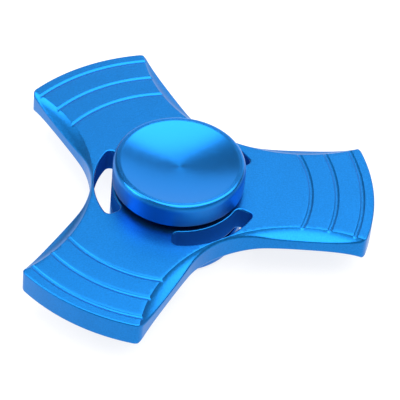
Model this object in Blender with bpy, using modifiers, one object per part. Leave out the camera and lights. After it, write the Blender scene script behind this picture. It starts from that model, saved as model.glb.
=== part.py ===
"""Fidget spinner: a three-armed body turning on a small ball bearing between two thumb caps.

Metres, +Z up. The spinning axis is Z, the body's mid-plane is z = 0 and one arm points along +X.
"""

import math

import bmesh
import bpy
from mathutils import Matrix, Vector

MM = 0.001

# Body
ARM_COUNT = 3
BODY_THICKNESS = 4.9 * MM
END_RADIUS = 37.0 * MM            # arms end on this circle about the hub
ARM_HALF_WIDTH = 11.6 * MM        # where an arm's side line would cross the hub
SIDE_FLARE = math.radians(1.5)    # each side opens outwards by this angle
CORNER_RADIUS = 1.5 * MM
WAIST_RADIUS = 15.6 * MM          # concave arc between two arms

# Curved slots through the body, one in each waist
SLOT_WEB = 0.6 * MM               # narrowest wall between a slot and the waist
SLOT_WIDTH = 3.3 * MM
SLOT_HALF_ANGLE = math.radians(34.0)
SLOT_CORNER_RADIUS = 1.1 * MM

# Round-bottomed grooves across the arms, on both faces
GROOVE_COUNT = 3
GROOVE_END_INSET = 2.2 * MM       # from the arm's end to the outermost groove
GROOVE_PITCH = 4.85 * MM
GROOVE_WIDTH = 0.85 * MM
GROOVE_DEPTH = 0.2 * MM

# Scoops along the arms' sides: one circular sweep of a round tool about the middle of each gap
SCOOP_CENTRE_DISTANCE = 45.8 * MM
SCOOP_PATH_RADIUS = 27.0 * MM
SCOOP_TOOL_RADIUS = 3.9 * MM
SCOOP_TOOL_LIFT = 2.6 * MM        # the tool's centre above the face

# Ball bearing
BEARING_OUTER_DIAMETER = 12.7 * MM
BEARING_BORE = 6.35 * MM
BEARING_WIDTH = 4.76 * MM
BALL_COUNT = 10
BALL_DIAMETER = 2.0 * MM
LAND_GAP = 0.85 * MM              # between the pitch circle and each ring's shoulder
CAGE_HALF_WIDTH = 0.5 * MM
CAGE_RISE = 0.55 * MM             # open side of the cage above the balls' plane
CAGE_SHIELD_GAP = 0.2 * MM        # between the cage's closed side and the lower shield's seat
SHIELD_CLEARANCE = 0.2 * MM       # between a shield and the inner ring's shoulder
SHIELD_THICKNESS = 0.2 * MM
SHIELD_STEP = 0.35 * MM           # radial depth of the shield's seat in the outer ring
SHIELD_RECESS = 0.63 * MM         # depth of that seat below the bearing's face
RETAINER_WIDTH = 0.5 * MM         # radial width of the split ring that holds a shield
RETAINER_THICKNESS = 0.14 * MM
RETAINER_SPLIT = math.radians(24.0)
RETAINER_LIP = 0.15 * MM          # overhang that keeps the split ring in its groove
LIP_THICKNESS = 0.1 * MM

# Thumb caps
CAP_RADIUS = 12.4 * MM
CAP_HEIGHT = 5.0 * MM
CAP_GAP = 1.1 * MM                # between the body's face and the cap's underside
CAP_DISH_DEPTH = 1.4 * MM
CAP_RIM_WIDTH = 0.45 * MM
CAP_EDGE_WIDTH = 0.8 * MM         # radial width of the rounded upper edge
CAP_EDGE_HEIGHT = 1.3 * MM
CAP_UNDER_CHAMFER = 0.3 * MM
CAP_BOSS_INSET = 0.15 * MM        # the cap's boss is this much smaller than the inner ring
CAP_WEB = 1.35 * MM               # between the dish's lowest point and the stud's pocket
STUD_RADIUS = 1.5 * MM
STUD_CHAMFER = 0.3 * MM
STUD_END_GAP = 0.3 * MM           # between each end of the stud and its pocket

# Clearances
FIT_GAP = 0.1 * MM                # radial clearance of the bearing's seats and races
SPIGOT_GAP = 0.15 * MM            # each spigot ends this far from the mid-plane

# Facets
TURNED_STEPS = 40
SPLIT_RING_STEPS = 36
STUD_STEPS = 24
CAGE_STEPS_PER_BALL = 4
BALL_SEGMENTS = 12
BALL_RINGS = 8
SWEEP_STEPS = 72
GROOVE_TOOL_STEPS = 16
SCOOP_TOOL_STEPS = 32
END_STEPS = 10
WAIST_STEPS = 12
SLOT_STEPS = 12
CORNER_STEPS = 4
RACE_STEPS = 5
DISH_STEPS = 6
EDGE_STEPS = 5
MERGE_DISTANCE = 1e-6

# Values that follow from the sizes above
FACE = BODY_THICKNESS / 2
SECTOR = 2 * math.pi / ARM_COUNT
SIDE_OFFSET = ARM_HALF_WIDTH * math.cos(SIDE_FLARE)
WAIST_DISTANCE = (WAIST_RADIUS + SIDE_OFFSET) / math.sin(SECTOR / 2 - SIDE_FLARE)
SLOT_OUTER_RADIUS = WAIST_DISTANCE - WAIST_RADIUS - SLOT_WEB
SLOT_INNER_RADIUS = SLOT_OUTER_RADIUS - SLOT_WIDTH
BALL_RADIUS = BALL_DIAMETER / 2
RACE_RADIUS = BALL_RADIUS + FIT_GAP
PITCH_RADIUS = (BEARING_OUTER_DIAMETER + BEARING_BORE) / 4
INNER_LAND_RADIUS = PITCH_RADIUS - LAND_GAP
OUTER_LAND_RADIUS = PITCH_RADIUS + LAND_GAP
BEARING_FACE = BEARING_WIDTH / 2
BEARING_OUTER_RADIUS = BEARING_OUTER_DIAMETER / 2
SHIELD_SEAT = BEARING_FACE - SHIELD_RECESS
CAGE_DROP = SHIELD_SEAT - CAGE_SHIELD_GAP
SHIELD_INNER_RADIUS = INNER_LAND_RADIUS + SHIELD_CLEARANCE
SHIELD_OUTER_RADIUS = OUTER_LAND_RADIUS + SHIELD_STEP - FIT_GAP
CAP_UNDERSIDE = FACE + CAP_GAP
CAP_TOP = CAP_UNDERSIDE + CAP_HEIGHT
CAP_RIM_RADIUS = CAP_RADIUS - CAP_EDGE_WIDTH
CAP_DISH_RADIUS = CAP_RIM_RADIUS - CAP_RIM_WIDTH
CAP_BOSS_RADIUS = INNER_LAND_RADIUS - CAP_BOSS_INSET
SPIGOT_RADIUS = BEARING_BORE / 2 - FIT_GAP
STUD_POCKET_RADIUS = STUD_RADIUS + FIT_GAP
STUD_POCKET_END = CAP_TOP - CAP_DISH_DEPTH - CAP_WEB
STUD_HALF_LENGTH = STUD_POCKET_END - STUD_END_GAP


def clear_scene():
    """Remove every object that is already in the file."""
    for old in list(bpy.data.objects):
        bpy.data.objects.remove(old, do_unlink=True)


def make_collection(name):
    """Add a collection to the scene."""
    collection = bpy.data.collections.new(name)
    bpy.context.scene.collection.children.link(collection)
    return collection


def make_material(name, colour, roughness, metallic):
    """Return a Principled material of one colour."""
    material = bpy.data.materials.new(name)
    material.use_nodes = True
    shader = material.node_tree.nodes["Principled BSDF"]
    shader.inputs["Base Color"].default_value = (*colour, 1.0)
    shader.inputs["Roughness"].default_value = roughness
    shader.inputs["Metallic"].default_value = metallic
    return material


def add_object(name, mesh, collection, material=None, location=(0, 0, 0)):
    """Put a mesh in a collection as a named object."""
    obj = bpy.data.objects.new(name, mesh)
    obj.location = location
    collection.objects.link(obj)
    if material is not None and not mesh.materials:
        mesh.materials.append(material)
    return obj


def as_cutter(obj):
    """Show an object as a wire guide that isn't rendered."""
    obj.hide_render = True
    obj.display_type = "WIRE"
    return obj


def polar(radius, angle):
    """Return the point at a radius and angle about the hub."""
    return Vector((radius * math.cos(angle), radius * math.sin(angle)))


def arc(centre, radius, start, end, steps):
    """Return points along an arc, both ends included."""
    return [
        Vector(centre) + polar(radius, start + (end - start) * i / steps)
        for i in range(steps + 1)
    ]


def turned(name, profile, collection, material=None, closed=False, steps=TURNED_STEPS):
    """Turn a profile of (radius, height) points about Z, running down its outer side."""
    mesh = bpy.data.meshes.new(name)
    vertices = [(radius, 0.0, height) for radius, height in profile]
    edges = [(i, i + 1) for i in range(len(profile) - 1)]
    if closed:
        edges.append((len(profile) - 1, 0))
    mesh.from_pydata(vertices, edges, [])
    obj = add_object(name, mesh, collection, material)
    screw = obj.modifiers.new("Turn", "SCREW")
    screw.axis = "Z"
    screw.steps = steps
    screw.render_steps = steps
    screw.use_merge_vertices = True
    screw.merge_threshold = MERGE_DISTANCE
    screw.use_smooth_shade = True
    return obj


def cut(obj, cutters):
    """Subtract each cutter from an object."""
    for cutter in cutters:
        boolean = obj.modifiers.new(cutter.name, "BOOLEAN")
        boolean.operation = "DIFFERENCE"
        boolean.solver = "EXACT"
        boolean.object = cutter


def mirrored(profile):
    """Mirror a profile in the mid-plane, keeping its direction of travel."""
    return [(radius, -height) for radius, height in reversed(profile)]


# Body


def arm_end():
    """Return one arm's outline from its right corner to its left one, for the arm along +X."""
    inset = ARM_HALF_WIDTH - CORNER_RADIUS / math.cos(SIDE_FLARE)
    slope = math.tan(SIDE_FLARE)
    reach = END_RADIUS - CORNER_RADIUS
    a = 1 + slope**2
    b = 2 * inset * slope
    c = inset**2 - reach**2
    centre_x = (-b + math.sqrt(b**2 - 4 * a * c)) / (2 * a)
    centre = Vector((centre_x, inset + centre_x * slope))
    tangent = math.atan2(centre.y, centre.x)
    side_normal = math.pi / 2 + SIDE_FLARE
    end = arc((0, 0), END_RADIUS, -tangent, tangent, END_STEPS)
    left = arc(centre, CORNER_RADIUS, tangent, side_normal, CORNER_STEPS)
    right = [Vector((p.x, -p.y)) for p in reversed(left)]
    return right + end[1:-1] + left


def waist():
    """Return the concave arc from the arm along +X to the next arm."""
    start = -math.pi / 2 + SIDE_FLARE
    end = SECTOR - start - 2 * math.pi
    return arc(polar(WAIST_DISTANCE, SECTOR / 2), WAIST_RADIUS, start, end, WAIST_STEPS)


def slot_outline(direction):
    """Return the outline of one curved slot about a direction from the hub."""
    outer, inner = SLOT_OUTER_RADIUS, SLOT_INNER_RADIUS
    outer_path = outer - SLOT_CORNER_RADIUS
    inner_path = inner + SLOT_CORNER_RADIUS
    outer_offset = SLOT_HALF_ANGLE - math.asin(SLOT_CORNER_RADIUS / outer_path)
    inner_offset = SLOT_HALF_ANGLE - math.asin(SLOT_CORNER_RADIUS / inner_path)
    left = direction + SLOT_HALF_ANGLE + math.pi / 2
    right = direction - SLOT_HALF_ANGLE - math.pi / 2
    a, b = direction - outer_offset, direction + outer_offset
    c, d = direction + inner_offset, direction - inner_offset
    points = arc((0, 0), outer, a, b, SLOT_STEPS)
    points += arc(polar(outer_path, b), SLOT_CORNER_RADIUS, b, left, CORNER_STEPS)[1:]
    points += arc(polar(inner_path, c), SLOT_CORNER_RADIUS, left, c + math.pi, CORNER_STEPS)
    points += arc((0, 0), inner, c, d, SLOT_STEPS)[1:]
    points += arc(polar(inner_path, d), SLOT_CORNER_RADIUS, d - math.pi, right, CORNER_STEPS)[1:]
    points += arc(polar(outer_path, a), SLOT_CORNER_RADIUS, right, a, CORNER_STEPS)[:-1]
    return points


def turned_by(points, angle):
    """Turn points about the hub."""
    rotation = Matrix.Rotation(angle, 2)
    return [rotation @ p for p in points]


def body_plate(collection, material):
    """Build the flat plate with its bore and slots from one filled outline."""
    outline = []
    for k in range(ARM_COUNT):
        outline += turned_by(arm_end() + waist(), k * SECTOR)
    bore = BEARING_OUTER_RADIUS + FIT_GAP
    loops = [outline, arc((0, 0), bore, 0, 2 * math.pi, TURNED_STEPS)[:-1]]
    loops += [slot_outline(SECTOR * (k + 0.5)) for k in range(ARM_COUNT)]
    curve = bpy.data.curves.new("body_outline", "CURVE")
    curve.dimensions = "2D"
    curve.fill_mode = "BOTH"
    curve.extrude = FACE
    for points in loops:
        spline = curve.splines.new("POLY")
        spline.points.add(len(points) - 1)
        for point, place in zip(spline.points, points):
            point.co = (place.x, place.y, 0, 1)
        spline.use_cyclic_u = True
    outline_object = add_object("body_outline", curve, collection)
    bpy.context.view_layer.update()
    evaluated = outline_object.evaluated_get(bpy.context.evaluated_depsgraph_get())
    mesh = bpy.data.meshes.new_from_object(evaluated)
    mesh.name = "spinner_body"
    bpy.data.objects.remove(outline_object)
    bm = bmesh.new()
    bm.from_mesh(mesh)
    bmesh.ops.remove_doubles(bm, verts=bm.verts, dist=MERGE_DISTANCE)
    bmesh.ops.recalc_face_normals(bm, faces=bm.faces)
    bm.to_mesh(mesh)
    bm.free()
    mesh.materials.clear()
    return add_object("spinner_body", mesh, collection, material)


def add_torus(name, collection, major, minor, location, minor_steps):
    """Add a torus cutter that lies flat."""
    bpy.ops.mesh.primitive_torus_add(
        major_segments=SWEEP_STEPS,
        minor_segments=minor_steps,
        major_radius=major,
        minor_radius=minor,
        location=location,
    )
    torus = bpy.context.active_object
    torus.name = name
    for owner in list(torus.users_collection):
        owner.objects.unlink(torus)
    collection.objects.link(torus)
    return as_cutter(torus)


def groove_cutters(collection):
    """Return a ring cutter for each groove on each face."""
    half = GROOVE_WIDTH / 2
    tool = (half**2 + GROOVE_DEPTH**2) / (2 * GROOVE_DEPTH)
    cutters = []
    for side, label in ((1, "upper"), (-1, "lower")):
        for i in range(GROOVE_COUNT):
            radius = END_RADIUS - GROOVE_END_INSET - i * GROOVE_PITCH
            height = side * (FACE + tool - GROOVE_DEPTH)
            name = f"groove_{label}_{i + 1}"
            place = (0, 0, height)
            cutters.append(add_torus(name, collection, radius, tool, place, GROOVE_TOOL_STEPS))
    return cutters


def scoop_cutters(collection):
    """Return a ring cutter about the middle of each gap on each face."""
    cutters = []
    for side, label in ((1, "upper"), (-1, "lower")):
        for k in range(ARM_COUNT):
            middle = polar(SCOOP_CENTRE_DISTANCE, SECTOR * (k + 0.5))
            place = (middle.x, middle.y, side * (FACE + SCOOP_TOOL_LIFT))
            ring = add_torus(
                f"scoop_{label}_{k + 1}",
                collection,
                SCOOP_PATH_RADIUS,
                SCOOP_TOOL_RADIUS,
                place,
                SCOOP_TOOL_STEPS,
            )
            cutters.append(ring)
    return cutters


def build_body(parts, cutters, material):
    """Build the three-armed body."""
    body = body_plate(parts, material)
    cut(body, scoop_cutters(cutters) + groove_cutters(cutters))


# Bearing


def race_arc(outer):
    """Return the race's arc from top to bottom, as a groove in the outer or the inner ring."""
    land = OUTER_LAND_RADIUS if outer else INNER_LAND_RADIUS
    half_angle = math.acos(abs(land - PITCH_RADIUS) / RACE_RADIUS)
    angles = [half_angle * (1 - 2 * i / RACE_STEPS) for i in range(RACE_STEPS + 1)]
    side = 1 if outer else -1
    return [
        (PITCH_RADIUS + side * RACE_RADIUS * math.cos(a), RACE_RADIUS * math.sin(a))
        for a in angles
    ]


def outer_ring_profile():
    """Return the outer ring's section: outer side down, then up past the seats and the race."""
    seat = OUTER_LAND_RADIUS + SHIELD_STEP
    lip = seat - RETAINER_LIP
    upper = [
        (OUTER_LAND_RADIUS, SHIELD_SEAT),
        (seat, SHIELD_SEAT),
        (seat, BEARING_FACE - LIP_THICKNESS),
        (lip, BEARING_FACE - LIP_THICKNESS),
        (lip, BEARING_FACE),
    ]
    outside = [(BEARING_OUTER_RADIUS, BEARING_FACE), (BEARING_OUTER_RADIUS, -BEARING_FACE)]
    return outside + mirrored(upper) + race_arc(True)[::-1] + upper


def inner_ring_profile():
    """Return the inner ring's section: outer side down with its race, then up the bore."""
    bore = BEARING_BORE / 2
    outside = [(INNER_LAND_RADIUS, BEARING_FACE)] + race_arc(False)
    outside.append((INNER_LAND_RADIUS, -BEARING_FACE))
    return outside + [(bore, -BEARING_FACE), (bore, BEARING_FACE)]


def ring_profile(inner, outer, bottom, top):
    """Return a plain rectangular section."""
    return [(outer, top), (outer, bottom), (inner, bottom), (inner, top)]


def ball_mesh(name, radius):
    """Return a sphere with its poles on Z."""
    bm = bmesh.new()
    bmesh.ops.create_uvsphere(bm, u_segments=BALL_SEGMENTS, v_segments=BALL_RINGS, radius=radius)
    mesh = bpy.data.meshes.new(name)
    bm.to_mesh(mesh)
    bm.free()
    mesh.shade_smooth()
    return mesh


def ball_centres():
    """Return the centre of each ball, evenly round the pitch circle."""
    step = 2 * math.pi / BALL_COUNT
    return [polar(PITCH_RADIUS, step * (i + 0.5)).to_3d() for i in range(BALL_COUNT)]


def build_balls(parts, material):
    """Build the balls, each with its origin at its centre."""
    mesh = ball_mesh("ball", BALL_RADIUS)
    for i, centre in enumerate(ball_centres()):
        add_object(f"ball_{i + 1:02d}", mesh, parts, material, centre)


def build_cage(parts, cutters, material):
    """Build the crown cage: a ring with a round pocket for each ball."""
    inner, outer = PITCH_RADIUS - CAGE_HALF_WIDTH, PITCH_RADIUS + CAGE_HALF_WIDTH
    section = ring_profile(inner, outer, -CAGE_DROP, CAGE_RISE)
    steps = BALL_COUNT * CAGE_STEPS_PER_BALL
    cage = turned("ball_cage", section, parts, material, closed=True, steps=steps)
    mesh = ball_mesh("pocket", RACE_RADIUS)
    pockets = [
        as_cutter(add_object(f"pocket_{i + 1:02d}", mesh, cutters, None, centre))
        for i, centre in enumerate(ball_centres())
    ]
    cut(cage, pockets)


def build_shields(parts, steel, spring_steel):
    """Build the two shields and the split rings that hold them."""
    bottom = SHIELD_SEAT + FIT_GAP
    shield = ring_profile(SHIELD_INNER_RADIUS, SHIELD_OUTER_RADIUS, bottom, bottom + SHIELD_THICKNESS)
    bottom += SHIELD_THICKNESS + FIT_GAP / 2
    inner = SHIELD_OUTER_RADIUS - RETAINER_WIDTH
    ring = ring_profile(inner, SHIELD_OUTER_RADIUS, bottom, bottom + RETAINER_THICKNESS)
    for label, section in (("upper", shield), ("lower", mirrored(shield))):
        turned(f"shield_{label}", section, parts, steel, closed=True)
    for label, section in (("upper", ring), ("lower", mirrored(ring))):
        split_ring(f"shield_ring_{label}", section, parts, spring_steel)


def split_ring(name, section, parts, material):
    """Spin a section most of the way round, leaving the split, and close both ends."""
    bm = bmesh.new()
    face = bm.faces.new([bm.verts.new((radius, 0, height)) for radius, height in section])
    bmesh.ops.rotate(
        bm, verts=bm.verts, cent=(0, 0, 0), matrix=Matrix.Rotation(RETAINER_SPLIT / 2, 3, "Z")
    )
    bmesh.ops.spin(
        bm,
        geom=[face],
        cent=(0, 0, 0),
        axis=(0, 0, 1),
        angle=2 * math.pi - RETAINER_SPLIT,
        steps=SPLIT_RING_STEPS,
    )
    bmesh.ops.remove_doubles(bm, verts=bm.verts, dist=MERGE_DISTANCE)
    bmesh.ops.recalc_face_normals(bm, faces=bm.faces)
    mesh = bpy.data.meshes.new(name)
    bm.to_mesh(mesh)
    bm.free()
    add_object(name, mesh, parts, material)


def build_bearing(parts, cutters, steel, cage_steel):
    """Build the bearing's rings, balls, cage, shields and split rings."""
    turned("bearing_outer_ring", outer_ring_profile(), parts, steel, closed=True)
    turned("bearing_inner_ring", inner_ring_profile(), parts, steel, closed=True)
    build_balls(parts, steel)
    build_cage(parts, cutters, cage_steel)
    build_shields(parts, cage_steel, steel)


# Caps


def cap_profile():
    """Return the upper cap's section from the dish's centre out, down and in to the stud pocket."""
    sphere = (CAP_DISH_RADIUS**2 + CAP_DISH_DEPTH**2) / (2 * CAP_DISH_DEPTH)
    lowest = CAP_TOP - CAP_DISH_DEPTH
    radii = [CAP_DISH_RADIUS * i / DISH_STEPS for i in range(DISH_STEPS + 1)]
    profile = [(r, lowest + sphere - math.sqrt(sphere**2 - r**2)) for r in radii]
    for i in range(EDGE_STEPS + 1):
        angle = math.pi / 2 * i / EDGE_STEPS
        radius = CAP_RIM_RADIUS + CAP_EDGE_WIDTH * math.sin(angle)
        profile.append((radius, CAP_TOP - CAP_EDGE_HEIGHT * (1 - math.cos(angle))))
    profile += [
        (CAP_RADIUS, CAP_UNDERSIDE + CAP_UNDER_CHAMFER),
        (CAP_RADIUS - CAP_UNDER_CHAMFER, CAP_UNDERSIDE),
        (CAP_BOSS_RADIUS, CAP_UNDERSIDE),
        (CAP_BOSS_RADIUS, BEARING_FACE + FIT_GAP),
        (SPIGOT_RADIUS, BEARING_FACE + FIT_GAP),
        (SPIGOT_RADIUS, SPIGOT_GAP),
        (STUD_POCKET_RADIUS, SPIGOT_GAP),
        (STUD_POCKET_RADIUS, STUD_POCKET_END),
        (0, STUD_POCKET_END),
    ]
    return profile


def build_caps(parts, blue, steel):
    """Build both caps and the stud that joins them through the inner ring."""
    profile = cap_profile()
    turned("cap_top", profile, parts, blue)
    turned("cap_bottom", mirrored(profile), parts, blue)
    tip = STUD_HALF_LENGTH
    chamfer = STUD_CHAMFER
    stud = [
        (0, tip),
        (STUD_RADIUS - chamfer, tip),
        (STUD_RADIUS, tip - chamfer),
        (STUD_RADIUS, chamfer - tip),
        (STUD_RADIUS - chamfer, -tip),
        (0, -tip),
    ]
    turned("cap_stud", stud, parts, steel, steps=STUD_STEPS)


def main():
    """Build the whole spinner."""
    clear_scene()
    parts = make_collection("fidget_spinner")
    cutters = make_collection("cutters")
    satin_blue = make_material("satin_blue_anodised", (0.012, 0.22, 0.74), 0.42, 1.0)
    gloss_blue = make_material("gloss_blue_anodised", (0.008, 0.19, 0.72), 0.2, 1.0)
    steel = make_material("bearing_steel", (0.62, 0.62, 0.64), 0.18, 1.0)
    cage_steel = make_material("pressed_steel", (0.5, 0.5, 0.52), 0.35, 1.0)
    build_body(parts, cutters, satin_blue)
    build_bearing(parts, cutters, steel, cage_steel)
    build_caps(parts, gloss_blue, steel)


main()
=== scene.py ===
"""Looks of a three-armed fidget spinner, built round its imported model.

Metres, +Z up. The spinning axis is Z, the body's mid-plane is z = 0 and one arm points along +X.
"""

from __future__ import annotations

import logging
import math
from dataclasses import dataclass, field
from enum import Enum
from typing import Iterable, Sequence

import bmesh
import bpy
from mathutils import Matrix, Quaternion, Vector


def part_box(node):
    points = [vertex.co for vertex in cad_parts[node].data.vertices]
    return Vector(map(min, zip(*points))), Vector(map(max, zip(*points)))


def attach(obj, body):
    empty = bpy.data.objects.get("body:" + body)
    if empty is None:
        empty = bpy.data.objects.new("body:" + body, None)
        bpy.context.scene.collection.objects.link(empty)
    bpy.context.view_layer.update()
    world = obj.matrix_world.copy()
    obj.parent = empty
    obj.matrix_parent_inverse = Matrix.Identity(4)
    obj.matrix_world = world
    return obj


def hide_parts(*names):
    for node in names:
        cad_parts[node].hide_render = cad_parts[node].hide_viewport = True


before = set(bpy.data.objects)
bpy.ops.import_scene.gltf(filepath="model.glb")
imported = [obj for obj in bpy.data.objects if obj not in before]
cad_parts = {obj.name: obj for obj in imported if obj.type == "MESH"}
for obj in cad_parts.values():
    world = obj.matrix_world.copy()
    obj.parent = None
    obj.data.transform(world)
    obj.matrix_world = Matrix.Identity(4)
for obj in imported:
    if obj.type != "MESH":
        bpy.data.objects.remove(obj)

log = logging.getLogger("fidget_spinner")

MM = 0.001
MERGE = 1e-6                        # vertices closer than this are one
SNAP = 5 * MERGE                    # vertices closer than this to a mirror are put on it
CUT_TOLERANCE = 1e-8                # vertices closer than this to a cut lie on it
FULL_TURN = 2 * math.pi
QUARTER_TURN = 0.25                 # as a shader counts it


# Shader graphs


class Value:
    """A number on a node's socket, so that shader maths reads as Python arithmetic."""

    def __init__(self, graph: Graph, socket: bpy.types.NodeSocket) -> None:
        """Keep the graph and the socket."""
        self.graph = graph
        self.socket = socket

    def maths(self, operation: str, *others: Value | float, clamp: bool = False) -> Value:
        """Return this value combined with others by one Math node.

        Args:
            operation: the Math node's operation.
            others: the node's further inputs.
            clamp: whether the result is held between 0 and 1.

        Returns:
            The node's output.
        """
        settings = {"operation": operation, "use_clamp": clamp}
        return self.graph.value("ShaderNodeMath", settings, dict(enumerate((self, *others))))

    def _swapped(self, operation: str, other: float) -> Value:
        """Return a Math node whose first input is the plain number."""
        settings = {"operation": operation}
        return self.graph.value("ShaderNodeMath", settings, {0: other, 1: self})

    def __add__(self, other: Value | float) -> Value:
        """Add."""
        return self.maths("ADD", other)

    __radd__ = __add__

    def __sub__(self, other: Value | float) -> Value:
        """Subtract."""
        return self.maths("SUBTRACT", other)

    def __rsub__(self, other: float) -> Value:
        """Subtract from a number."""
        return self._swapped("SUBTRACT", other)

    def __mul__(self, other: Value | float) -> Value:
        """Multiply."""
        return self.maths("MULTIPLY", other)

    __rmul__ = __mul__

    def clamped(self) -> Value:
        """Hold between 0 and 1."""
        return self.maths("ADD", 0.0, clamp=True)


class Graph:
    """The node tree of one material or world."""

    def __init__(self, tree: bpy.types.NodeTree) -> None:
        """Start with an empty tree."""
        self.tree = tree
        tree.nodes.clear()

    def node(
        self, kind: str, settings: dict | None = None, inputs: dict | None = None
    ) -> bpy.types.Node:
        """Add a node.

        Args:
            kind: the node's type.
            settings: its attributes, set first.
            inputs: a value, Value or socket for each input, by name or number.

        Returns:
            The new node.
        """
        made = self.tree.nodes.new(kind)
        for name, setting in (settings or {}).items():
            setattr(made, name, setting)
        for name, given in (inputs or {}).items():
            if isinstance(given, Value):
                self.tree.links.new(given.socket, made.inputs[name])
            elif isinstance(given, bpy.types.NodeSocket):
                self.tree.links.new(given, made.inputs[name])
            else:
                made.inputs[name].default_value = given
        return made

    def value(
        self, kind: str, settings: dict | None = None, inputs: dict | None = None,
        output: str | int = 0,
    ) -> Value:
        """Add a node and return one of its outputs as a Value."""
        return Value(self, self.node(kind, settings, inputs).outputs[output])

    def position(self) -> bpy.types.NodeSocket:
        """Return the place on the piece, in metres."""
        return self.node("ShaderNodeTexCoord").outputs["Object"]

    def noise(self, grain: float, detail: float) -> Value:
        """Return noise between 0 and 1.

        Args:
            grain: the size of one grain, in metres.
            detail: octaves of finer noise.

        Returns:
            The noise.
        """
        inputs = {"Vector": self.position(), "Scale": 1 / grain, "Detail": detail}
        return self.value("ShaderNodeTexNoise", None, inputs)

    def mixed(self, factor: Value, low: Sequence[float], high: Sequence[float]) -> bpy.types.NodeSocket:
        """Mix two colours."""
        settings = {"data_type": "RGBA"}
        inputs = {0: factor, 6: (*low, 1.0), 7: (*high, 1.0)}
        return self.node("ShaderNodeMix", settings, inputs).outputs[2]

    def bump(self, height: Value, depth: float) -> bpy.types.NodeSocket:
        """Return the normal of a surface with this height between 0 and 1, times a depth in metres."""
        inputs = {"Height": height, "Distance": depth, "Strength": 1.0}
        return self.node("ShaderNodeBump", None, inputs).outputs["Normal"]


# Finishes


@dataclass(frozen=True)
class Finish:
    """A metal finish that becomes one material."""

    name: str
    slot: str
    colour: tuple[float, float, float]
    roughness: float
    metallic: float = 1.0
    specular: float = 0.5
    variation: float = 0.05         # share by which the colour changes over the surface
    coat: float = 0.0
    coat_roughness: float = 0.3

    def material(self) -> bpy.types.Material:
        """Build the material.

        Returns:
            The new material.
        """
        material = bpy.data.materials.new(self.name)
        material.use_nodes = True
        graph = Graph(material.node_tree)
        constants = {
            "Metallic": self.metallic,
            "Specular IOR Level": self.specular,
            "Coat Weight": self.coat,
            "Coat Roughness": self.coat_roughness,
        }
        constants.update(self.constants())
        constants.update(self.surface(graph))
        shader = graph.node("ShaderNodeBsdfPrincipled", None, constants)
        graph.node("ShaderNodeOutputMaterial", None, {"Surface": shader.outputs[0]})
        return material

    def constants(self) -> dict:
        """Return the shader's further values that are the same all over."""
        return {}

    def surface(self, graph: Graph) -> dict:
        """Return what changes over the surface, by the shader's socket."""
        raise NotImplementedError

    def tinted(self, graph: Graph, tint: Value) -> bpy.types.NodeSocket:
        """Vary the colour over the surface.

        Args:
            graph: the material's graph.
            tint: 0 where the colour is darkest and 1 where it is lightest.

        Returns:
            The varied colour.
        """
        dark, light = (
            [min(1.0, channel * share) for channel in self.colour]
            for share in (1 - self.variation, 1 + self.variation)
        )
        return graph.mixed(tint, dark, light)


@dataclass(frozen=True)
class Blasted(Finish):
    """Bead-blasted metal: fine pits, all the same size, over the whole surface."""

    pit: float = 0.3 * MM
    pit_depth: float = 0.006 * MM
    pit_contrast: float = 1.6
    pit_roughness: float = 0.10     # difference in roughness between a pit and its rim
    cloud: float = 5.0 * MM
    cloud_contrast: float = 0.3

    def surface(self, graph: Graph) -> dict:
        """Cover the surface with pits and faint clouds.

        Args:
            graph: the material's graph.

        Returns:
            What changes over the surface, by the shader's socket.
        """
        pits = graph.noise(self.pit, detail=1.5)
        clouds = graph.noise(self.cloud, detail=1.0)
        speckle = (pits - 0.5) * self.pit_contrast + (clouds - 0.5) * self.cloud_contrast + 0.5
        return {
            "Base Color": self.tinted(graph, speckle.clamped()),
            "Roughness": self.roughness + (pits - 0.5) * self.pit_roughness,
            "Normal": graph.bump(pits, self.pit_depth),
        }


@dataclass(frozen=True)
class Turned(Finish):
    """Lathe-turned metal: fine rings about the axis that spread its highlights across them."""

    pitch: float = 0.12 * MM
    ring_depth: float = 0.0006 * MM
    ring_roughness: float = 0.02    # difference in roughness between a ring and the next gap
    patch: float = 1.5 * MM         # size of the patches where the rings are stronger
    patch_roughness: float = 0.05
    grain: float = 0.25 * MM
    anisotropy: float = 0.5
    duller_beyond: float = 12.0 * MM
    dulling_band: float = 0.3 * MM
    dulling: float = 0.0            # roughness added beyond that radius, over that band

    def constants(self) -> dict:
        """Spread the highlights outwards from the axis."""
        return {"Anisotropic": self.anisotropy, "Anisotropic Rotation": QUARTER_TURN}

    def surface(self, graph: Graph) -> dict:
        """Cover the surface with fine rings of uneven strength.

        Args:
            graph: the material's graph.

        Returns:
            What changes over the surface, by the shader's socket.
        """
        flat = graph.node("ShaderNodeVectorMath", {"operation": "MULTIPLY"},
                          {0: graph.position(), 1: (1.0, 1.0, 0.0)})
        radius = graph.value("ShaderNodeVectorMath", {"operation": "LENGTH"},
                             {0: flat.outputs[0]}, "Value")
        rings = (radius * (FULL_TURN / self.pitch)).maths("SINE") * 0.5 + 0.5
        dull = ((radius - self.duller_beyond) * (1 / self.dulling_band)).clamped()
        uneven = graph.noise(self.patch, detail=2.0)
        fine = graph.noise(self.grain, detail=2.0)
        streaks = (uneven - 0.5) * self.patch_roughness + (rings - 0.5) * self.ring_roughness
        return {
            "Base Color": self.tinted(graph, (fine * 0.5 + uneven * 0.5).clamped()),
            "Roughness": self.roughness + streaks + dull * self.dulling,
            "Normal": graph.bump(rings * uneven, self.ring_depth),
        }


# Drawing and cutting


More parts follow.
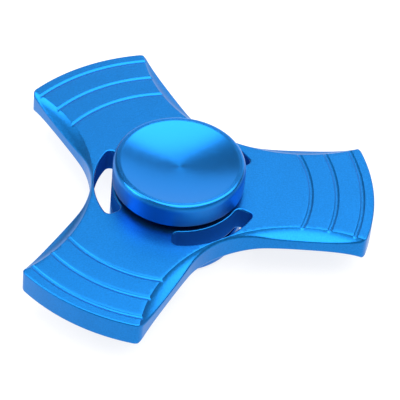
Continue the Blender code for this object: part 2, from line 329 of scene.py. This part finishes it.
class Pen:
    """Draws an outline as one chain of edges."""

    def __init__(
        self, bm: bmesh.types.BMesh, start: Sequence[float], axis: Sequence[float] = (0, 0, 1)
    ) -> None:
        """Put the pen down.

        Args:
            bm: the mesh to draw in.
            start: the first point.
            axis: the direction that arcs turn about.
        """
        self.bm = bm
        self.axis = axis
        self.first = self.last = bm.verts.new(start)

    def line(self, to: Sequence[float], steps: int = 1) -> None:
        """Draw a straight line.

        Args:
            to: the line's end.
            steps: the number of edges that it is divided into.
        """
        start = self.last.co.copy()
        for i in range(steps):
            drawn = self.bm.verts.new(start.lerp(Vector(to), (i + 1) / steps))
            self.bm.edges.new((self.last, drawn))
            self.last = drawn

    def arc(self, centre: Sequence[float], angle: float, steps: int) -> None:
        """Draw an arc from the pen's place.

        Args:
            centre: the arc's centre.
            angle: how far it turns about the pen's axis, in radians.
            steps: the number of edges that it is divided into.
        """
        made = bmesh.ops.spin(
            self.bm, geom=[self.last], cent=centre, axis=self.axis, angle=angle, steps=steps
        )
        self.last = next(g for g in made["geom_last"] if isinstance(g, bmesh.types.BMVert))

    def close(self) -> None:
        """Draw the last line, back to the first point."""
        self.bm.edges.new((self.last, self.first))


def all_of(bm: bmesh.types.BMesh) -> list:
    """Return all vertices, edges and faces."""
    return bm.verts[:] + bm.edges[:] + bm.faces[:]


def add_piece(name: str, bm: bmesh.types.BMesh, finish: Finish) -> bpy.types.Object:
    """Turn a finished bmesh into a smooth, closed object at the origin.

    Args:
        name: the object's name.
        bm: its mesh, freed here.
        finish: the finish that it gets all over.

    Returns:
        The new object.
    """
    bmesh.ops.remove_doubles(bm, verts=bm.verts, dist=MERGE)
    bmesh.ops.recalc_face_normals(bm, faces=bm.faces)
    open_edges = sum(not edge.is_manifold for edge in bm.edges)
    mesh = bpy.data.meshes.new(name)
    bm.to_mesh(mesh)
    bm.free()
    mesh.shade_smooth()
    mesh.materials.append(finish.material())
    piece = bpy.data.objects.new(name, mesh)
    bpy.context.scene.collection.objects.link(piece)
    if open_edges:
        log.warning("%s: %d open edges", name, open_edges)
    return piece


def steps_along(start: float, end: float, step: float) -> list[float]:
    """Divide the way between two limits evenly.

    Args:
        start: the first limit.
        end: the last limit.
        step: about how far apart the values lie.

    Returns:
        The values between the limits, neither included.
    """
    count = max(1, round((end - start) / step))
    return [start + (end - start) * i / count for i in range(1, count)]


def polar(radius: float, angle: float) -> Vector:
    """Return the point at a radius and angle about the axis."""
    return Vector((radius * math.cos(angle), radius * math.sin(angle), 0.0))


class RingCutter:
    """Cuts a mesh along circles about one vertical line, or along rays from it."""

    def __init__(self, centre: Vector, towards: float) -> None:
        """Keep the line's place and the direction that angles are counted from."""
        self.centre = centre
        self.towards = towards

    def _unroll(self, bm: bmesh.types.BMesh) -> None:
        """Lay the mesh out with the radius along X and the angle along Y.

        Args:
            bm: the mesh.
        """
        turn = Matrix.Rotation(-self.towards, 3, "Z")
        for vert in bm.verts:
            place = turn @ (vert.co - self.centre)
            vert.co = (place.xy.length, math.atan2(place.y, place.x), vert.co.z)

    def _roll(self, bm: bmesh.types.BMesh) -> None:
        """Undo the unrolling.

        Args:
            bm: the mesh.
        """
        for vert in bm.verts:
            place = self.centre + polar(vert.co.x, vert.co.y + self.towards)
            vert.co = (place.x, place.y, vert.co.z)

    def cut(
        self, bm: bmesh.types.BMesh, radii: Iterable[float], angles: Iterable[float] = ()
    ) -> None:
        """Cut along each circle and each ray.

        Args:
            bm: the mesh to cut.
            radii: the circles' radii.
            angles: the rays' angles.
        """
        self._unroll(bm)
        planes = [((radius, 0, 0), (1, 0, 0)) for radius in radii]
        planes += [((0, angle, 0), (0, 1, 0)) for angle in angles]
        for place, normal in planes:
            bmesh.ops.bisect_plane(
                bm, geom=all_of(bm), dist=CUT_TOLERANCE, plane_co=place, plane_no=normal
            )
        self._roll(bm)


@dataclass
class RoundTool:
    """A round-nosed tool that cuts a channel along a circle."""

    radius: float
    lift: float                     # the nose's centre above the face

    @property
    def half_width(self) -> float:
        """Return half the channel's width at the face."""
        return math.sqrt(self.radius**2 - self.lift**2)

    def height(self, offset: float) -> float:
        """Find the channel's surface.

        Args:
            offset: the distance from the channel's middle.

        Returns:
            Its height above the face.
        """
        if abs(offset) >= self.radius:
            return self.radius
        return self.lift - math.sqrt(self.radius**2 - offset**2)


def rounded_minimum(a: float, b: float, blend: float) -> float:
    """Take the lower of two heights, with the crease between them rounded.

    Args:
        a: the first height.
        b: the second height.
        blend: the difference between them at which the rounding ends.

    Returns:
        The lower height, or less near the crease.
    """
    if abs(a - b) >= blend:
        return min(a, b)
    share = 0.5 + (b - a) / (2 * blend)
    return b + (a - b) * share - blend * share * (1 - share)


# The spinner's pieces


@dataclass
class SpinnerBody:
    """The flat three-armed body."""

    finish: Finish
    # painted shade: a darker blue for the slot's walls
    slot_shade_finish: Finish
    arm_count: int = 3
    arm_half_width: float = 11.6 * MM
    side_flare: float = math.radians(1.5)
    corner_radius: float = 1.5 * MM
    waist_radius: float = 15.6 * MM
    slot_web: float = 0.6 * MM
    slot_width: float = 3.3 * MM
    slot_half_angle: float = math.radians(34.0)
    slot_corner_radius: float = 1.1 * MM
    bore_gap: float = 0.1 * MM
    groove_count: int = 3
    groove_end_inset: float = 2.2 * MM
    groove_pitch: float = 4.85 * MM
    groove_width: float = 0.85 * MM
    groove_depth: float = 0.2 * MM
    scoop_centre_distance: float = 45.8 * MM
    scoop_path_radius: float = 27.0 * MM
    scoop_tool: RoundTool = field(default_factory=lambda: RoundTool(3.9 * MM, 2.6 * MM))
    edge_radius: float = 0.28 * MM
    support: float = 0.05 * MM      # narrow flat beside each rounded edge
    lip: float = 0.06 * MM          # rounding of the grooves' and scoops' lips
    clearance: float = 0.012 * MM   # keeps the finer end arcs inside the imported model's box

    # How finely each stretch of the sixth is divided
    end_steps: int = 36
    corner_steps: int = 10
    side_steps: int = 40
    waist_steps: int = 48
    slot_steps: int = 24
    slot_corner_steps: int = 8
    slot_end_steps: int = 3
    bore_steps: int = 36
    edge_steps: int = 3
    groove_step: float = 0.16 * MM
    scoop_step: float = 0.35 * MM
    face_step: float = 0.8 * MM
    ray_step: float = math.radians(1.5)
    sliver: float = 0.002 * MM      # cells narrower than this are closed
    lip_shares: tuple[float, ...] = (-1.6, -1.0, -0.6, -0.3, 0.0, 0.2, 0.4, 0.7)

    def __post_init__(self) -> None:
        """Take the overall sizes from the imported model."""
        low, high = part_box("spinner_body")
        self.half_thickness = high.z
        self.end_radius = high.x - self.clearance
        self.bore_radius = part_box("bearing_outer_ring")[1].x + self.bore_gap
        self.half_sector = math.pi / self.arm_count
        side = self.arm_half_width * math.cos(self.side_flare)
        self.waist_distance = (self.waist_radius + side) / math.sin(self.half_sector - self.side_flare)
        self.slot_outer = self.waist_distance - self.waist_radius - self.slot_web
        self.slot_inner = self.slot_outer - self.slot_width
        half = self.groove_width / 2
        nose = (half**2 + self.groove_depth**2) / (2 * self.groove_depth)
        self.groove_tool = RoundTool(nose, nose - self.groove_depth)
        self.grooves = [
            self.end_radius - self.groove_end_inset - i * self.groove_pitch
            for i in range(self.groove_count)
        ]
        self.scoop_centre = polar(self.scoop_centre_distance, self.half_sector)

    def build(self) -> bpy.types.Object:
        """Build the body from a sixth of one face, mirrored and repeated.

        Returns:
            The body.
        """
        bm = bmesh.new()
        self._outline(bm)
        self._walls(bm)
        self._grid(bm)
        self._carve(bm)
        self._paint_slot_shade(bm)
        self._repeat(bm)
        piece = add_piece("anodised_body", bm, self.finish)
        # The second material paints shade on the slot's walls.
        piece.data.materials.append(self.slot_shade_finish.material())
        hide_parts("spinner_body")
        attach(piece, "rotor")
        return piece

    def _corner_centre(self) -> Vector:
        """Find the corner's arc, which touches the arm's side and its end.

        Returns:
            The arc's middle.
        """
        inset = self.arm_half_width - self.corner_radius / math.cos(self.side_flare)
        slope = math.tan(self.side_flare)
        a, b = 1 + slope**2, 2 * inset * slope
        c = inset**2 - (self.end_radius - self.corner_radius) ** 2
        x = (-b + math.sqrt(b**2 - 4 * a * c)) / (2 * a)
        return Vector((x, inset + x * slope, 0))

    def _outline(self, bm: bmesh.types.BMesh) -> None:
        """Fill the outline between the middle of an arm and the middle of the next gap.

        Args:
            bm: the empty mesh.
        """
        lift = Vector((0, 0, self.half_thickness))
        pen = Pen(bm, (self.end_radius, 0, self.half_thickness))
        self._draw_arm(pen, lift)
        self._draw_slot(pen, lift)
        pen.line(polar(self.bore_radius, self.half_sector) + lift)
        pen.arc((0, 0, 0), -self.half_sector, self.bore_steps)
        pen.close()
        bmesh.ops.contextual_create(bm, geom=bm.edges[:])
        for face in bm.faces:
            if face.normal.z < 0:
                face.normal_flip()

    def _draw_arm(self, pen: Pen, lift: Vector) -> None:
        """Draw half the arm's end, its corner, its side and half the waist.

        Args:
            pen: the pen, at the middle of the arm's end.
            lift: the height of the face.
        """
        corner_centre = self._corner_centre()
        tangent = math.atan2(corner_centre.y, corner_centre.x)
        side_normal = math.pi / 2 + self.side_flare
        waist_centre = polar(self.waist_distance, self.half_sector)
        waist_start = waist_centre + polar(self.waist_radius, self.side_flare - math.pi / 2)
        pen.arc((0, 0, 0), tangent, self.end_steps)
        pen.arc(corner_centre, side_normal - tangent, self.corner_steps)
        pen.line(waist_start + lift, self.side_steps)
        pen.arc(waist_centre, self.half_sector - side_normal, self.waist_steps)

    def _draw_slot(self, pen: Pen, lift: Vector) -> None:
        """Draw half the slot, from the waist's web inwards.

        Args:
            pen: the pen, at the middle of the waist.
            lift: the height of the face.
        """
        corner = self.slot_corner_radius
        outer_path, inner_path = self.slot_outer - corner, self.slot_inner + corner
        outer_turn = self.slot_half_angle - math.asin(corner / outer_path)
        inner_turn = self.slot_half_angle - math.asin(corner / inner_path)
        outer_centre = polar(outer_path, self.half_sector - outer_turn)
        inner_centre = polar(inner_path, self.half_sector - inner_turn)
        side = self.half_sector - self.slot_half_angle - math.pi / 2
        pen.line(polar(self.slot_outer, self.half_sector) + lift)
        pen.arc((0, 0, 0), -outer_turn, self.slot_steps)
        pen.arc(outer_centre, side - self.half_sector + outer_turn, self.slot_corner_steps)
        pen.line(inner_centre + polar(corner, side) + lift, self.slot_end_steps)
        pen.arc(inner_centre, self.half_sector - inner_turn - math.pi - side, self.slot_corner_steps)
        pen.arc((0, 0, 0), inner_turn, self.slot_steps)

    def _on_mirror(self, vert: bmesh.types.BMVert) -> bool:
        """Tell whether a vertex lies on one of the two rays that bound the sixth."""
        across = Matrix.Rotation(-self.half_sector, 3, "Z") @ vert.co
        return min(abs(vert.co.y), abs(across.y)) < MERGE

    def _walls(self, bm: bmesh.types.BMesh) -> None:
        """Drop the walls to the mid-plane and round the rim, with a narrow flat on both sides of it.

        Args:
            bm: the mesh, with the sixth's flat face.
        """
        rim = [edge for edge in bm.edges if not all(map(self._on_mirror, edge.verts))]
        made = bmesh.ops.extrude_edge_only(bm, edges=rim)["geom"]
        low = [g for g in made if isinstance(g, bmesh.types.BMVert)]
        bmesh.ops.translate(bm, verts=low, vec=(0, 0, -self.half_thickness))
        bmesh.ops.recalc_face_normals(bm, faces=bm.faces)
        top = max(bm.faces, key=lambda face: face.calc_area())
        if top.normal.z < 0:
            bmesh.ops.reverse_faces(bm, faces=bm.faces)
        bmesh.ops.bevel(
            bm, geom=rim, offset=self.edge_radius, offset_type="OFFSET", affect="EDGES",
            segments=self.edge_steps, profile=0.5, material=-1, clamp_overlap=True,
        )
        top = max(bm.faces, key=lambda face: face.calc_area())
        bmesh.ops.inset_region(
            bm, faces=[top], thickness=self.support, use_even_offset=True, use_boundary=False
        )
        below = self.half_thickness - self.edge_radius - self.support
        bmesh.ops.bisect_plane(
            bm, geom=all_of(bm), dist=CUT_TOLERANCE, plane_co=(0, 0, below), plane_no=(0, 0, 1)
        )

    def _lip_offsets(self, tool: RoundTool, step: float) -> list[float]:
        """Choose where to cut along a channel: evenly across it and closely at its lips.

        Args:
            tool: the tool that cuts the channel.
            step: about how far apart the even cuts lie.

        Returns:
            The cuts' distances from the channel's middle, to both sides.
        """
        lips = [tool.half_width + share * self.lip for share in self.lip_shares]
        even = [0.0, *steps_along(0.0, lips[0], step)]
        return sorted({sign * value for value in even + lips for sign in (-1, 1)})

    def _grid(self, bm: bmesh.types.BMesh) -> None:
        """Cut the face into cells that follow the grooves and the scoops.

        Args:
            bm: the mesh.
        """
        grooves = self._lip_offsets(self.groove_tool, self.groove_step)
        radii = [middle + offset for middle in self.grooves for offset in grooves]
        reach = self.groove_width / 2 + self.lip
        plain = steps_along(self.bore_radius, self.end_radius, self.face_step)
        radii += [r for r in plain if all(abs(r - middle) > reach for middle in self.grooves)]
        rays = steps_along(0.0, self.half_sector, self.ray_step)
        RingCutter(Vector(), 0.0).cut(bm, radii, rays)
        scoop = self._lip_offsets(self.scoop_tool, self.scoop_step)
        cutter = RingCutter(self.scoop_centre, self.half_sector + math.pi)
        cutter.cut(bm, [self.scoop_path_radius + offset for offset in scoop])
        bmesh.ops.remove_doubles(bm, verts=bm.verts, dist=self.sliver)

    def _carve(self, bm: bmesh.types.BMesh) -> None:
        """Lower the face where a groove or a scoop runs.

        Args:
            bm: the mesh, cut into cells.
        """
        for vert in bm.verts:
            if vert.co.z < MERGE:
                continue
            radius = vert.co.xy.length
            height = 0.0
            for middle in self.grooves:
                channel = self.groove_tool.height(radius - middle)
                height = rounded_minimum(height, channel, self.lip)
            offset = (vert.co - self.scoop_centre).xy.length - self.scoop_path_radius
            height = rounded_minimum(height, self.scoop_tool.height(offset), self.lip)
            vert.co.z += height

    def _paint_slot_shade(self, bm: bmesh.types.BMesh) -> None:
        """Give the slot's walls the second finish, a darker blue that paints the shade inside the slot.

        Args:
            bm: the mesh.
        """
        margin = self.edge_radius + self.support
        for face in bm.faces:
            middle = face.calc_center_median()
            upright = middle.z < self.half_thickness - margin
            if upright and self.slot_inner - MERGE < middle.xy.length < self.slot_outer + MERGE:
                face.material_index = 1

    def _repeat(self, bm: bmesh.types.BMesh) -> None:
        """Mirror the sixth into an arm, the arm into both faces, and repeat it round the axis.

        Args:
            bm: the mesh.
        """
        turn = Matrix.Rotation(self.half_sector, 3, "Z")
        for vert in bm.verts:
            across = turn.inverted() @ vert.co
            if abs(vert.co.y) < SNAP:
                vert.co.y = 0.0
            elif abs(across.y) < SNAP:
                across.y = 0.0
                vert.co = turn @ across
        for axis in ("Y", "Z"):
            bmesh.ops.mirror(bm, geom=all_of(bm), axis=axis, merge_dist=MERGE)
        bmesh.ops.spin(
            bm, geom=all_of(bm), cent=(0, 0, 0), axis=(0, 0, 1),
            angle=FULL_TURN * (self.arm_count - 1) / self.arm_count,
            steps=self.arm_count - 1, use_duplicate=True,
        )
        bmesh.ops.triangulate(bm, faces=[face for face in bm.faces if len(face.verts) > 4])


class Side(Enum):
    """Which of the two faces a piece lies on."""

    UPPER = "top"
    LOWER = "bottom"


@dataclass
class ThumbCap:
    """A dished cap that the fingers hold."""

    finish: Finish
    side: Side
    dish_depth: float = 1.4 * MM
    rim_width: float = 0.45 * MM
    edge_width: float = 0.8 * MM
    edge_height: float = 1.3 * MM
    under_chamfer: float = 0.3 * MM
    height: float = 5.0 * MM
    boss_radius: float = 3.76 * MM
    spigot_radius: float = 3.075 * MM
    seat_gap: float = 0.1 * MM      # between the boss and the bearing's inner ring
    stud_clearance: float = 0.1 * MM
    stud_end_gap: float = 0.3 * MM
    lip: float = 0.06 * MM          # rounding of the flat rim's two edges
    lip_drop: float = 0.01 * MM
    ease: tuple[float, float] = (0.04 * MM, 0.06 * MM)      # rounding of the chamfer's edges
    support: float = 0.08 * MM      # narrow band beside each rounded edge
    boss_support: float = 0.1 * MM
    spigot_support: float = 0.05 * MM
    steps: int = 160
    dish_steps: int = 40
    edge_steps: int = 12

    def __post_init__(self) -> None:
        """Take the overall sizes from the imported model."""
        low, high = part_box("cap_top")
        self.radius = high.x
        self.top = high.z
        self.inner_end = low.z
        self.underside = self.top - self.height
        self.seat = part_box("bearing_inner_ring")[1].z + self.seat_gap
        self.rim_radius = self.radius - self.edge_width
        self.dish_radius = self.rim_radius - self.rim_width

    def build(self) -> bpy.types.Object:
        """Spin the cap's section about the axis.

        Returns:
            The cap.
        """
        bm = bmesh.new()
        self._section(bm)
        bmesh.ops.spin(
            bm, geom=bm.verts[:] + bm.edges[:], cent=(0, 0, 0), axis=(0, 0, 1),
            angle=FULL_TURN, steps=self.steps, use_merge=True,
        )
        if self.side is Side.LOWER:
            bmesh.ops.scale(bm, vec=(1, 1, -1), verts=bm.verts)
        node = f"cap_{self.side.value}"
        piece = add_piece(f"thumb_{node}", bm, self.finish)
        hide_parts(node)
        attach(piece, "caps")
        return piece

    def _section(self, bm: bmesh.types.BMesh) -> None:
        """Draw the section from the dish's centre out, down and in to the stud's pocket.

        Args:
            bm: the empty mesh.
        """
        sphere = (self.dish_radius**2 + self.dish_depth**2) / (2 * self.dish_depth)
        lowest = self.top - self.dish_depth
        pen = Pen(bm, (0, 0, lowest), axis=(0, 1, 0))
        pen.arc((0, 0, lowest + sphere), -math.asin(self.dish_radius / sphere), self.dish_steps)
        pen.line((self.dish_radius + self.lip, 0, self.top - self.lip_drop))
        pen.line((self.rim_radius - self.lip, 0, self.top))
        for i in range(self.edge_steps + 1):
            angle = math.pi / 2 * i / self.edge_steps
            pen.line((
                self.rim_radius + self.edge_width * math.sin(angle), 0,
                self.top - self.edge_height * (1 - math.cos(angle)),
            ))
        for radius, height in (*self._wall(), *self._boss(), *self._pocket()):
            pen.line((radius, 0, height))

    def _wall(self) -> list[tuple[float, float]]:
        """Lay out the outer wall and the chamfer under it.

        Returns:
            The section's points there, as radii and heights.
        """
        across, along = self.ease
        low, inside = self.underside + self.under_chamfer, self.radius - self.under_chamfer
        return [
            (self.radius, self.top - self.edge_height - self.support),
            (self.radius, low + self.support),
            (self.radius, low),
            (self.radius - across, low - along),
            (inside + along, self.underside + across),
            (inside, self.underside),
            (inside - self.support, self.underside),
        ]

    def _boss(self) -> list[tuple[float, float]]:
        """Lay out the boss that meets the bearing.

        Returns:
            The section's points there, as radii and heights.
        """
        return [
            (self.boss_radius + self.boss_support, self.underside),
            (self.boss_radius, self.underside),
            (self.boss_radius, self.underside - self.boss_support),
            (self.boss_radius, self.seat + self.boss_support),
            (self.boss_radius, self.seat),
        ]

    def _pocket(self) -> list[tuple[float, float]]:
        """Lay out the spigot and the stud's pocket in it.

        Returns:
            The section's points there, as radii and heights.
        """
        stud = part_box("cap_stud")[1]
        wall, floor = stud.x + self.stud_clearance, stud.z + self.stud_end_gap
        return [
            (self.spigot_radius + self.spigot_support, self.seat),
            (self.spigot_radius, self.seat),
            (self.spigot_radius, self.inner_end + self.spigot_support),
            (self.spigot_radius, self.inner_end),
            (wall, self.inner_end),
            (wall, floor),
            (0, floor),
        ]


@dataclass
class Internals:
    """The bearing's parts and the stud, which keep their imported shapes."""

    ground: Finish
    pressed: Finish
    pressed_nodes: tuple[str, ...] = ("ball_cage", "shield_lower", "shield_upper")
    ground_nodes: tuple[str, ...] = ("ball_", "bearing_", "cap_stud", "shield_ring_")

    def build(self) -> list[bpy.types.Object]:
        """Give each node its finish.

        Returns:
            The nodes.
        """
        ground, pressed = self.ground.material(), self.pressed.material()
        dressed = []
        for name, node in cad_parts.items():
            if name in self.pressed_nodes:
                self._dress(node, pressed, self.pressed)
                dressed.append(node)
            elif name.startswith(self.ground_nodes):
                self._dress(node, ground, self.ground)
                dressed.append(node)
        return dressed

    @staticmethod
    def _dress(node: bpy.types.Object, material: bpy.types.Material, finish: Finish) -> None:
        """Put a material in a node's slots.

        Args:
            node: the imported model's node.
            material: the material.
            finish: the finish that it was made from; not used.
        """
        for slot in node.material_slots:
            slot.material = material


# Studio


@dataclass(frozen=True)
class SoftBox:
    """A large soft light."""

    name: str
    place: tuple[float, float, float]
    target: tuple[float, float, float]
    size: tuple[float, float]
    radiance: float
    roll: float = 0.0               # degrees, about its own axis

    def build(self) -> None:
        """Hang the light, facing its target."""
        light = bpy.data.lights.new(self.name, "AREA")
        light.shape = "RECTANGLE"
        light.size, light.size_y = self.size
        light.energy = self.radiance * math.pi * self.size[0] * self.size[1]
        lamp = bpy.data.objects.new(self.name, light)
        lamp.location = self.place
        lamp.rotation_mode = "QUATERNION"
        aim = (Vector(self.target) - Vector(self.place)).to_track_quat("-Z", "Y")
        lamp.rotation_quaternion = aim @ Quaternion((0, 0, 1), math.radians(self.roll))
        bpy.context.scene.collection.objects.link(lamp)


LIGHTS = (
    # Hangs over the object, with a corner where the dish sees it as a bright fan
    SoftBox("key_light", (0.06, 0.18, 0.59), (-0.17, 0.48, 0.0), (0.90, 0.76), 3.3, roll=-89.0),
    # Stands low behind, for the flat faces
    SoftBox("back_light", (0.20, 0.80, 0.33), (0.0, 0.0, 0.0), (1.2, 0.58), 1.0),
    # Hangs at the left, for the scoops that face it
    SoftBox("side_light", (-0.72, -0.10, 0.52), (0.0, 0.0, 0.0), (0.45, 0.6), 4.5),
)


@dataclass
class Studio:
    """A pale floor, soft light and the camera."""

    floor_size: float = 4.0
    floor_shade: float = 0.25
    floor_roughness: float = 0.8
    floor_glow: float = 0.82
    surround: float = 0.36
    target: tuple[float, float, float] = (4.126 * MM, -3.841 * MM, 2.45 * MM)
    distance: float = 464.2 * MM
    elevation: float = math.radians(44.51)
    heading: float = math.radians(4.44)
    roll: float = math.radians(5.804)
    lens: float = 224.5             # millimetres, as the sensor's width
    sensor_width: float = 36.0
    nearest: float = 0.01
    farthest: float = 10.0

    def build(self) -> None:
        """Build the floor, the lights and the camera."""
        bpy.context.scene.view_settings.view_transform = "Standard"
        self._floor()
        self._world()
        for light in LIGHTS:
            light.build()
        self._camera()

    def _floor(self) -> None:
        """Lay the floor under the lower cap."""
        bm = bmesh.new()
        bmesh.ops.create_grid(bm, x_segments=1, y_segments=1, size=self.floor_size / 2)
        bmesh.ops.translate(bm, verts=bm.verts, vec=(0, 0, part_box("cap_bottom")[0].z))
        mesh = bpy.data.meshes.new("floor")
        bm.to_mesh(mesh)
        bm.free()
        floor = bpy.data.objects.new("floor", mesh)
        bpy.context.scene.collection.objects.link(floor)
        material = bpy.data.materials.new("white_floor")
        material.use_nodes = True
        graph = Graph(material.node_tree)
        inputs = {
            "Base Color": (*(self.floor_shade,) * 3, 1),
            "Roughness": self.floor_roughness,
            "Specular IOR Level": 0.0,
            "Emission Color": (1, 1, 1, 1),
            "Emission Strength": self.floor_glow,
        }
        shader = graph.node("ShaderNodeBsdfPrincipled", None, inputs)
        graph.node("ShaderNodeOutputMaterial", None, {"Surface": shader.outputs[0]})
        mesh.materials.append(material)

    def _world(self) -> None:
        """Surround the scene with dim, even light."""
        world = bpy.data.worlds.new("studio")
        world.use_nodes = True
        bpy.context.scene.world = world
        graph = Graph(world.node_tree)
        inputs = {"Color": (1, 1, 1, 1), "Strength": self.surround}
        light = graph.node("ShaderNodeBackground", None, inputs)
        graph.node("ShaderNodeOutputWorld", None, {"Surface": light.outputs[0]})

    def _camera(self) -> None:
        """Aim the camera at the spinner."""
        camera = bpy.data.cameras.new("camera")
        camera.lens = self.lens
        camera.sensor_width = self.sensor_width
        camera.clip_start = self.nearest
        camera.clip_end = self.farthest
        viewer = bpy.data.objects.new("camera", camera)
        level = math.cos(self.elevation)
        back = Vector((
            -math.sin(self.heading) * level, -math.cos(self.heading) * level, math.sin(self.elevation)
        ))
        viewer.location = Vector(self.target) + back * self.distance
        viewer.rotation_mode = "QUATERNION"
        aim = (-back).to_track_quat("-Z", "Y")
        viewer.rotation_quaternion = aim @ Quaternion((0, 0, 1), self.roll)
        bpy.context.scene.collection.objects.link(viewer)
        bpy.context.scene.camera = viewer


BLASTED_BLUE = Blasted(
    "blasted_blue_anodised", "body_anodised", (0.010, 0.182, 0.55), 0.35, variation=0.14
)
# Painted shade: a darker, non-metallic blue on the slot's walls, so that the slot looks shadowed inside
SLOT_SHADE_BLUE = Blasted(
    "slot_painted_shade_blue", "body_anodised", (0.006, 0.085, 0.38), 0.6, metallic=0.0, specular=0.0
)
TURNED_BLUE = Turned(
    "turned_blue_anodised", "cap_anodised", (0.007, 0.19, 0.61), 0.25,
    coat=0.12, coat_roughness=0.25, dulling=0.15,
)
GROUND_STEEL = Turned("ground_steel", "bearing_steel", (0.62, 0.62, 0.64), 0.16, anisotropy=0.3)
PRESSED_STEEL = Blasted("pressed_steel", "pressed_steel", (0.52, 0.52, 0.54), 0.34)


def report(piece: bpy.types.Object) -> None:
    """Log a piece with its faces and finishes."""
    finishes = ", ".join(slot.material.name for slot in piece.material_slots)
    log.info("%s: %d faces, %s", piece.name, len(piece.data.polygons), finishes)


def main() -> None:
    """Build the spinner and its studio."""
    logging.basicConfig(level=logging.INFO, format="%(message)s")
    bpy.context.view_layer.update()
    pieces = [SpinnerBody(BLASTED_BLUE, SLOT_SHADE_BLUE).build()]
    pieces += [ThumbCap(TURNED_BLUE, side).build() for side in Side]
    pieces += Internals(GROUND_STEEL, PRESSED_STEEL).build()
    for piece in pieces:
        report(piece)
    Studio().build()


if __name__ == "__main__":
    main()
